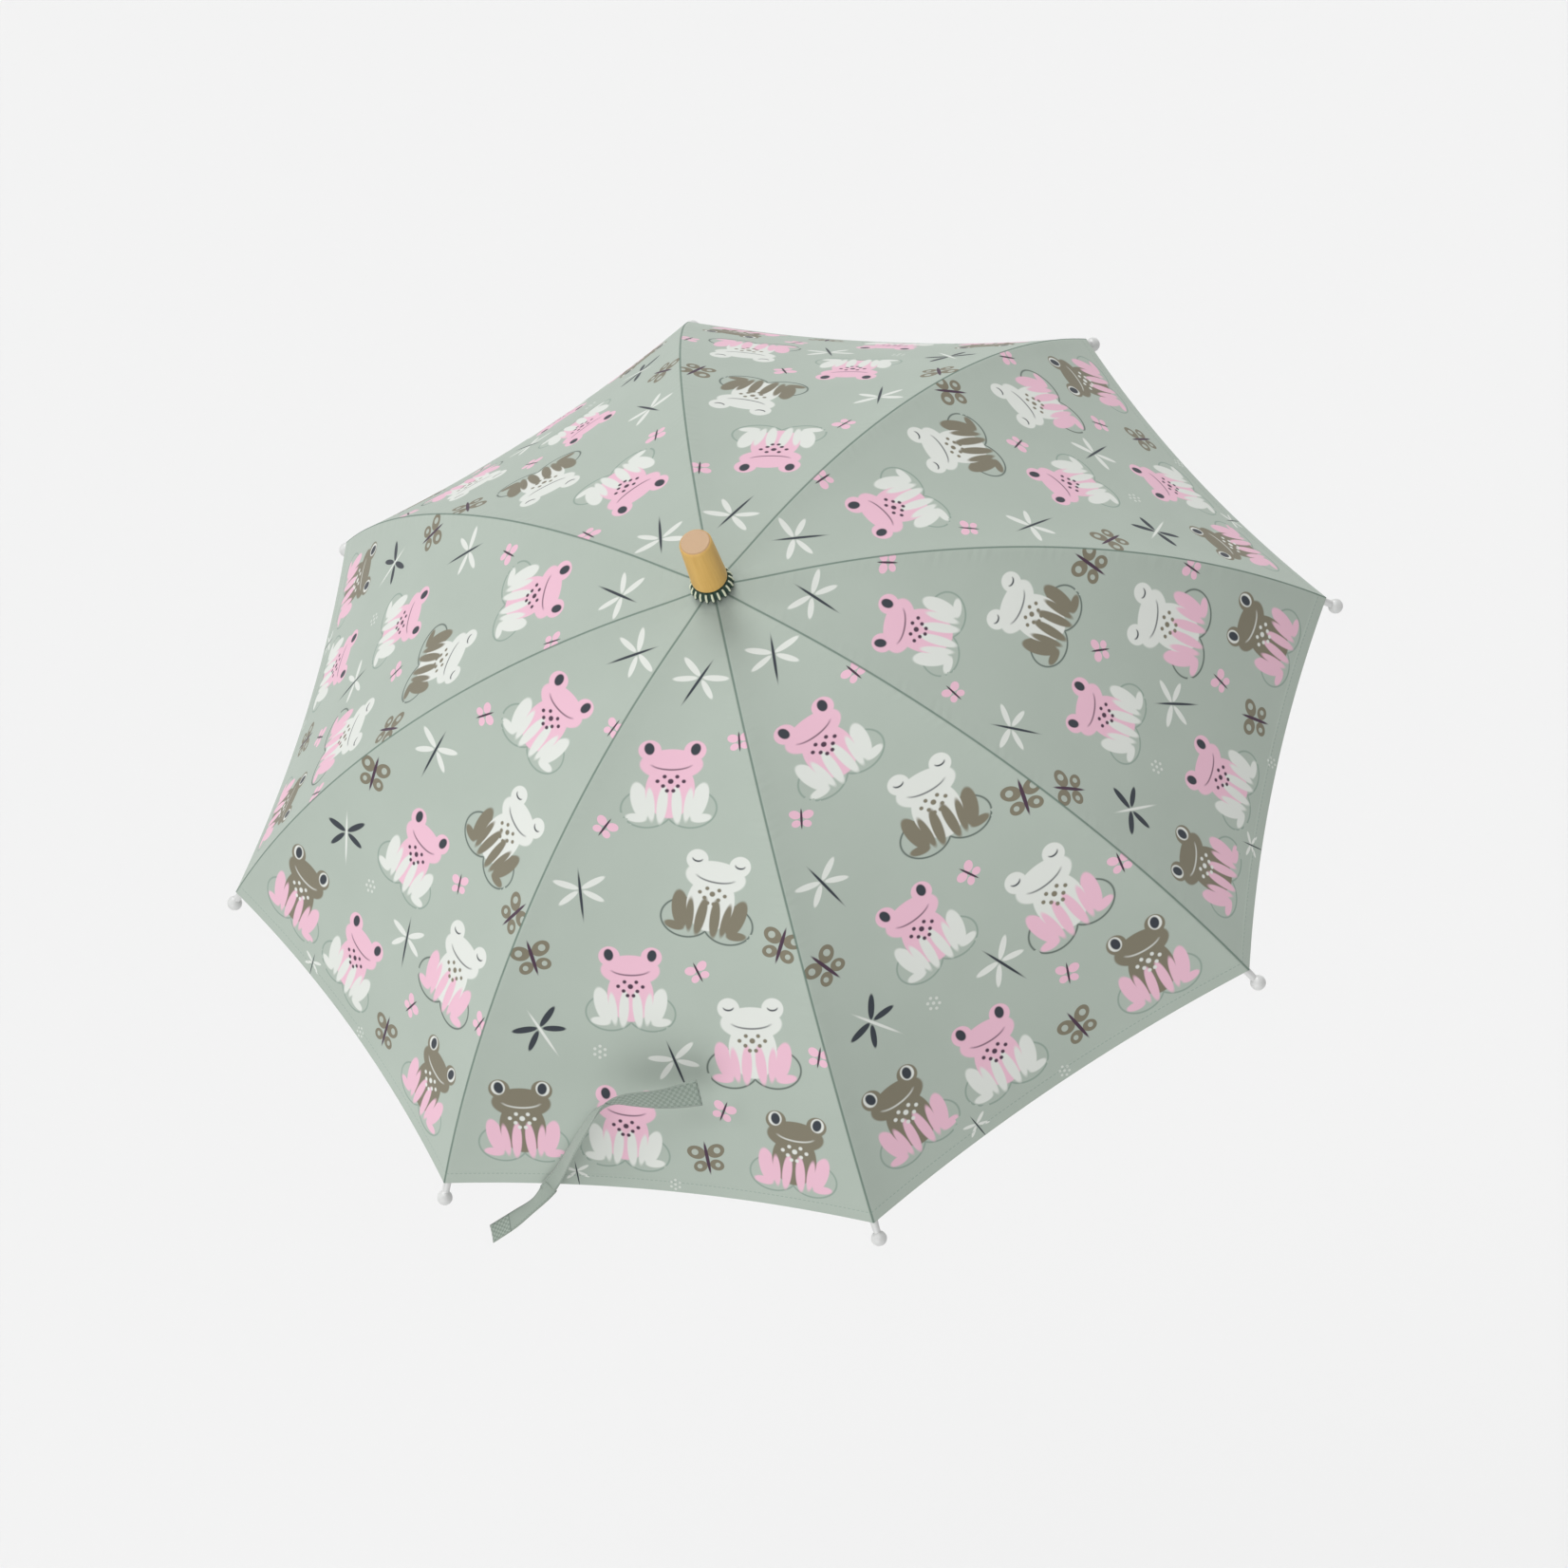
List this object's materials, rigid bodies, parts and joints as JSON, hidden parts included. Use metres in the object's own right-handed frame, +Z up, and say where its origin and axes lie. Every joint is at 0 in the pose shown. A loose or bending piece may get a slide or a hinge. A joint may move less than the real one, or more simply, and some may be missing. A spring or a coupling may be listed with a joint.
{
  "type": "children's stick umbrella",
  "caption": "Open child's umbrella with a domed cloth canopy, ball-tipped steel ribs, sliding runner, wooden J-shaped handle and wooden ferrule.",
  "frame": {"origin": "middle of the handle's straight grip, on the shaft's axis", "axes": "+Z up the shaft to the ferrule, +X from the grip towards the crook's free end"},
  "size_m": [0.6746, 0.6877, 0.654],
  "materials": {
    "canopy_cloth": "woven polyester, printed outside, plain and paler inside",
    "strap_cloth": "folded and stitched canopy cloth with hook-and-loop ends",
    "rosette_cloth": "pleated cloth",
    "frame_steel": "nickel plated",
    "shaft_steel": "nickel plated tube",
    "hub_plastic": "moulded",
    "tip_plastic": "moulded, smooth",
    "wood": "clear varnish"
  },
  "bodies": {
    "shaft": {"shaft": "shaft_steel", "handle": "wood", "ferrule": "wood", "rosette": "rosette_cloth", "top_notch": "hub_plastic", "notch_ring": "frame_steel"},
    "runner": {"runner": "hub_plastic", "runner_ring": "frame_steel"},
    "open_catch": {"open_catch": "frame_steel"},
    "closed_catch": {"closed_catch": "frame_steel"},
    "rib_1": {"rib_1": "frame_steel", "rib_tip_1": "tip_plastic"},
    "stretcher_1": {"stretcher_1": "frame_steel", "rivet_1": "frame_steel"},
    "rib_2": {"rib_2": "frame_steel", "rib_tip_2": "tip_plastic"},
    "stretcher_2": {"stretcher_2": "frame_steel", "rivet_2": "frame_steel"},
    "rib_3": {"rib_3": "frame_steel", "rib_tip_3": "tip_plastic"},
    "stretcher_3": {"stretcher_3": "frame_steel", "rivet_3": "frame_steel"},
    "rib_4": {"rib_4": "frame_steel", "rib_tip_4": "tip_plastic"},
    "stretcher_4": {"stretcher_4": "frame_steel", "rivet_4": "frame_steel"},
    "rib_5": {"rib_5": "frame_steel", "rib_tip_5": "tip_plastic"},
    "stretcher_5": {"stretcher_5": "frame_steel", "rivet_5": "frame_steel"},
    "rib_6": {"rib_6": "frame_steel", "rib_tip_6": "tip_plastic"},
    "stretcher_6": {"stretcher_6": "frame_steel", "rivet_6": "frame_steel"},
    "rib_7": {"rib_7": "frame_steel", "rib_tip_7": "tip_plastic"},
    "stretcher_7": {"stretcher_7": "frame_steel", "rivet_7": "frame_steel"},
    "rib_8": {"rib_8": "frame_steel", "rib_tip_8": "tip_plastic"},
    "stretcher_8": {"stretcher_8": "frame_steel", "rivet_8": "frame_steel"},
    "panel_1a": {"panel_1a": "canopy_cloth"},
    "panel_1b": {"panel_1b": "canopy_cloth"},
    "panel_2a": {"panel_2a": "canopy_cloth"},
    "panel_2b": {"panel_2b": "canopy_cloth"},
    "panel_3a": {"panel_3a": "canopy_cloth"},
    "panel_3b": {"panel_3b": "canopy_cloth"},
    "panel_4a": {"panel_4a": "canopy_cloth"},
    "panel_4b": {"panel_4b": "canopy_cloth"},
    "panel_5a": {"panel_5a": "canopy_cloth"},
    "panel_5b": {"panel_5b": "canopy_cloth"},
    "panel_6a": {"panel_6a": "canopy_cloth", "strap_hook_tail": "strap_cloth", "strap_loop_tail": "strap_cloth"},
    "panel_6b": {"panel_6b": "canopy_cloth"},
    "panel_7a": {"panel_7a": "canopy_cloth"},
    "panel_7b": {"panel_7b": "canopy_cloth"},
    "panel_8a": {"panel_8a": "canopy_cloth"},
    "panel_8b": {"panel_8b": "canopy_cloth"}
  },
  "joints": [
    {"name": "canopy_fold", "type": "hinge", "parent": "shaft", "child": "rib_1", "pos_m": [0.00739, 0.00306, 0.511], "axis": [-0.3827, 0.9239, 0], "range_deg": [0, 60]},
    {"name": "rib_fold_2", "type": "hinge", "parent": "shaft", "child": "rib_2", "pos_m": [0.00306, 0.00739, 0.511], "axis": [-0.9239, 0.3827, 0], "range_deg": [0, 60]},
    {"name": "rib_fold_3", "type": "hinge", "parent": "shaft", "child": "rib_3", "pos_m": [-0.00306, 0.00739, 0.511], "axis": [-0.9239, -0.3827, 0], "range_deg": [0, 60]},
    {"name": "rib_fold_4", "type": "hinge", "parent": "shaft", "child": "rib_4", "pos_m": [-0.00739, 0.00306, 0.511], "axis": [-0.3827, -0.9239, 0], "range_deg": [0, 60]},
    {"name": "rib_fold_5", "type": "hinge", "parent": "shaft", "child": "rib_5", "pos_m": [-0.00739, -0.00306, 0.511], "axis": [0.3827, -0.9239, 0], "range_deg": [0, 60]},
    {"name": "rib_fold_6", "type": "hinge", "parent": "shaft", "child": "rib_6", "pos_m": [-0.00306, -0.00739, 0.511], "axis": [0.9239, -0.3827, 0], "range_deg": [0, 60]},
    {"name": "rib_fold_7", "type": "hinge", "parent": "shaft", "child": "rib_7", "pos_m": [0.00306, -0.00739, 0.511], "axis": [0.9239, 0.3827, 0], "range_deg": [0, 60]},
    {"name": "rib_fold_8", "type": "hinge", "parent": "shaft", "child": "rib_8", "pos_m": [0.00739, -0.00306, 0.511], "axis": [0.3827, 0.9239, 0], "range_deg": [0, 60]},
    {"name": "stretcher_fold_1", "type": "hinge", "parent": "rib_1", "child": "stretcher_1", "pos_m": [0.16543, 0.06852, 0.47409], "axis": [-0.3827, 0.9239, 0], "range_deg": [-120, 0]},
    {"name": "stretcher_fold_2", "type": "hinge", "parent": "rib_2", "child": "stretcher_2", "pos_m": [0.06852, 0.16543, 0.47409], "axis": [-0.9239, 0.3827, 0], "range_deg": [-120, 0]},
    {"name": "stretcher_fold_3", "type": "hinge", "parent": "rib_3", "child": "stretcher_3", "pos_m": [-0.06852, 0.16543, 0.47409], "axis": [-0.9239, -0.3827, 0], "range_deg": [-120, 0]},
    {"name": "stretcher_fold_4", "type": "hinge", "parent": "rib_4", "child": "stretcher_4", "pos_m": [-0.16543, 0.06852, 0.47409], "axis": [-0.3827, -0.9239, 0], "range_deg": [-120, 0]},
    {"name": "stretcher_fold_5", "type": "hinge", "parent": "rib_5", "child": "stretcher_5", "pos_m": [-0.16543, -0.06852, 0.47409], "axis": [0.3827, -0.9239, 0], "range_deg": [-120, 0]},
    {"name": "stretcher_fold_6", "type": "hinge", "parent": "rib_6", "child": "stretcher_6", "pos_m": [-0.06852, -0.16543, 0.47409], "axis": [0.9239, -0.3827, 0], "range_deg": [-120, 0]},
    {"name": "stretcher_fold_7", "type": "hinge", "parent": "rib_7", "child": "stretcher_7", "pos_m": [0.06852, -0.16543, 0.47409], "axis": [0.9239, 0.3827, 0], "range_deg": [-120, 0]},
    {"name": "stretcher_fold_8", "type": "hinge", "parent": "rib_8", "child": "stretcher_8", "pos_m": [0.16543, -0.06852, 0.47409], "axis": [0.3827, 0.9239, 0], "range_deg": [-120, 0]},
    {"name": "runner_pivot", "type": "hinge", "parent": "stretcher_1", "child": "runner", "pos_m": [0.00739, 0.00306, 0.43718], "axis": [-0.3827, 0.9239, 0], "range_deg": [0, 60]},
    {"name": "panel_fold_1a", "type": "hinge", "parent": "rib_1", "child": "panel_1a", "pos_m": [0.00642, -0.00017, 0.50977], "axis": [-0.075, -0.9645, -0.2531], "range_deg": [0, 28.6], "deforming": ["panel_1a"]},
    {"name": "panel_fold_1b", "type": "hinge", "parent": "rib_2", "child": "panel_1b", "pos_m": [-0.00017, 0.00642, 0.50977], "axis": [0.9645, 0.075, 0.2531], "range_deg": [0, 28.6], "deforming": ["panel_1b"]},
    {"name": "panel_fold_2a", "type": "hinge", "parent": "rib_2", "child": "panel_2a", "pos_m": [0.00466, 0.00441, 0.50977], "axis": [0.629, -0.735, -0.2531], "range_deg": [0, 28.6], "deforming": ["panel_2a"]},
    {"name": "panel_fold_2b", "type": "hinge", "parent": "rib_3", "child": "panel_2b", "pos_m": [-0.00466, 0.00441, 0.50977], "axis": [0.629, 0.735, 0.2531], "range_deg": [0, 28.6], "deforming": ["panel_2b"]},
    {"name": "panel_fold_3a", "type": "hinge", "parent": "rib_3", "child": "panel_3a", "pos_m": [0.00017, 0.00642, 0.50977], "axis": [0.9645, -0.075, -0.2531], "range_deg": [0, 28.6], "deforming": ["panel_3a"]},
    {"name": "panel_fold_3b", "type": "hinge", "parent": "rib_4", "child": "panel_3b", "pos_m": [-0.00642, -0.00017, 0.50977], "axis": [-0.075, 0.9645, 0.2531], "range_deg": [0, 28.6], "deforming": ["panel_3b"]},
    {"name": "panel_fold_4a", "type": "hinge", "parent": "rib_4", "child": "panel_4a", "pos_m": [-0.00441, 0.00466, 0.50977], "axis": [0.735, 0.629, -0.2531], "range_deg": [0, 28.6], "deforming": ["panel_4a"]},
    {"name": "panel_fold_4b", "type": "hinge", "parent": "rib_5", "child": "panel_4b", "pos_m": [-0.00441, -0.00466, 0.50977], "axis": [-0.735, 0.629, 0.2531], "range_deg": [0, 28.6], "deforming": ["panel_4b"]},
    {"name": "panel_fold_5a", "type": "hinge", "parent": "rib_5", "child": "panel_5a", "pos_m": [-0.00642, 0.00017, 0.50977], "axis": [0.075, 0.9645, -0.2531], "range_deg": [0, 28.6], "deforming": ["panel_5a"]},
    {"name": "panel_fold_5b", "type": "hinge", "parent": "rib_6", "child": "panel_5b", "pos_m": [0.00017, -0.00642, 0.50977], "axis": [-0.9645, -0.075, 0.2531], "range_deg": [0, 28.6], "deforming": ["panel_5b"]},
    {"name": "panel_fold_6a", "type": "hinge", "parent": "rib_6", "child": "panel_6a", "pos_m": [-0.00466, -0.00441, 0.50977], "axis": [-0.629, 0.735, -0.2531], "range_deg": [0, 28.6], "deforming": ["panel_6a", "strap_hook_tail", "strap_loop_tail"]},
    {"name": "panel_fold_6b", "type": "hinge", "parent": "rib_7", "child": "panel_6b", "pos_m": [0.00466, -0.00441, 0.50977], "axis": [-0.629, -0.735, 0.2531], "range_deg": [0, 28.6], "deforming": ["panel_6b"]},
    {"name": "panel_fold_7a", "type": "hinge", "parent": "rib_7", "child": "panel_7a", "pos_m": [-0.00017, -0.00642, 0.50977], "axis": [-0.9645, 0.075, -0.2531], "range_deg": [0, 28.6], "deforming": ["panel_7a"]},
    {"name": "panel_fold_7b", "type": "hinge", "parent": "rib_8", "child": "panel_7b", "pos_m": [0.00642, 0.00017, 0.50977], "axis": [0.075, -0.9645, 0.2531], "range_deg": [0, 28.6], "deforming": ["panel_7b"]},
    {"name": "panel_fold_8a", "type": "hinge", "parent": "rib_8", "child": "panel_8a", "pos_m": [0.00441, -0.00466, 0.50977], "axis": [-0.735, -0.629, -0.2531], "range_deg": [0, 28.6], "deforming": ["panel_8a"]},
    {"name": "panel_fold_8b", "type": "hinge", "parent": "rib_1", "child": "panel_8b", "pos_m": [0.00441, 0.00466, 0.50977], "axis": [0.735, -0.629, 0.2531], "range_deg": [0, 28.6], "deforming": ["panel_8b"]},
    {"name": "open_catch_press", "type": "slide", "parent": "shaft", "child": "open_catch", "axis": [-1, 0, 0], "range_m": [0, 0.0022], "stiffness_N_per_m": 800},
    {"name": "closed_catch_press", "type": "slide", "parent": "shaft", "child": "closed_catch", "axis": [-1, 0, 0], "range_m": [0, 0.0022], "stiffness_N_per_m": 800}
  ],
  "couplings": [
    {"joint": "rib_fold_2", "follows": "canopy_fold", "ratio": 1},
    {"joint": "rib_fold_3", "follows": "canopy_fold", "ratio": 1},
    {"joint": "rib_fold_4", "follows": "canopy_fold", "ratio": 1},
    {"joint": "rib_fold_5", "follows": "canopy_fold", "ratio": 1},
    {"joint": "rib_fold_6", "follows": "canopy_fold", "ratio": 1},
    {"joint": "rib_fold_7", "follows": "canopy_fold", "ratio": 1},
    {"joint": "rib_fold_8", "follows": "canopy_fold", "ratio": 1},
    {"joint": "stretcher_fold_1", "follows": "canopy_fold", "ratio": -2},
    {"joint": "stretcher_fold_2", "follows": "canopy_fold", "ratio": -2},
    {"joint": "stretcher_fold_3", "follows": "canopy_fold", "ratio": -2},
    {"joint": "stretcher_fold_4", "follows": "canopy_fold", "ratio": -2},
    {"joint": "stretcher_fold_5", "follows": "canopy_fold", "ratio": -2},
    {"joint": "stretcher_fold_6", "follows": "canopy_fold", "ratio": -2},
    {"joint": "stretcher_fold_7", "follows": "canopy_fold", "ratio": -2},
    {"joint": "stretcher_fold_8", "follows": "canopy_fold", "ratio": -2},
    {"joint": "runner_pivot", "follows": "canopy_fold", "ratio": 1},
    {"joint": "panel_fold_1a", "follows": "canopy_fold", "ratio": 0.47496},
    {"joint": "panel_fold_1b", "follows": "canopy_fold", "ratio": 0.47496},
    {"joint": "panel_fold_2a", "follows": "canopy_fold", "ratio": 0.47496},
    {"joint": "panel_fold_2b", "follows": "canopy_fold", "ratio": 0.47496},
    {"joint": "panel_fold_3a", "follows": "canopy_fold", "ratio": 0.47496},
    {"joint": "panel_fold_3b", "follows": "canopy_fold", "ratio": 0.47496},
    {"joint": "panel_fold_4a", "follows": "canopy_fold", "ratio": 0.47496},
    {"joint": "panel_fold_4b", "follows": "canopy_fold", "ratio": 0.47496},
    {"joint": "panel_fold_5a", "follows": "canopy_fold", "ratio": 0.47496},
    {"joint": "panel_fold_5b", "follows": "canopy_fold", "ratio": 0.47496},
    {"joint": "panel_fold_6a", "follows": "canopy_fold", "ratio": 0.47496},
    {"joint": "panel_fold_6b", "follows": "canopy_fold", "ratio": 0.47496},
    {"joint": "panel_fold_7a", "follows": "canopy_fold", "ratio": 0.47496},
    {"joint": "panel_fold_7b", "follows": "canopy_fold", "ratio": 0.47496},
    {"joint": "panel_fold_8a", "follows": "canopy_fold", "ratio": 0.47496},
    {"joint": "panel_fold_8b", "follows": "canopy_fold", "ratio": 0.47496}
  ]
}
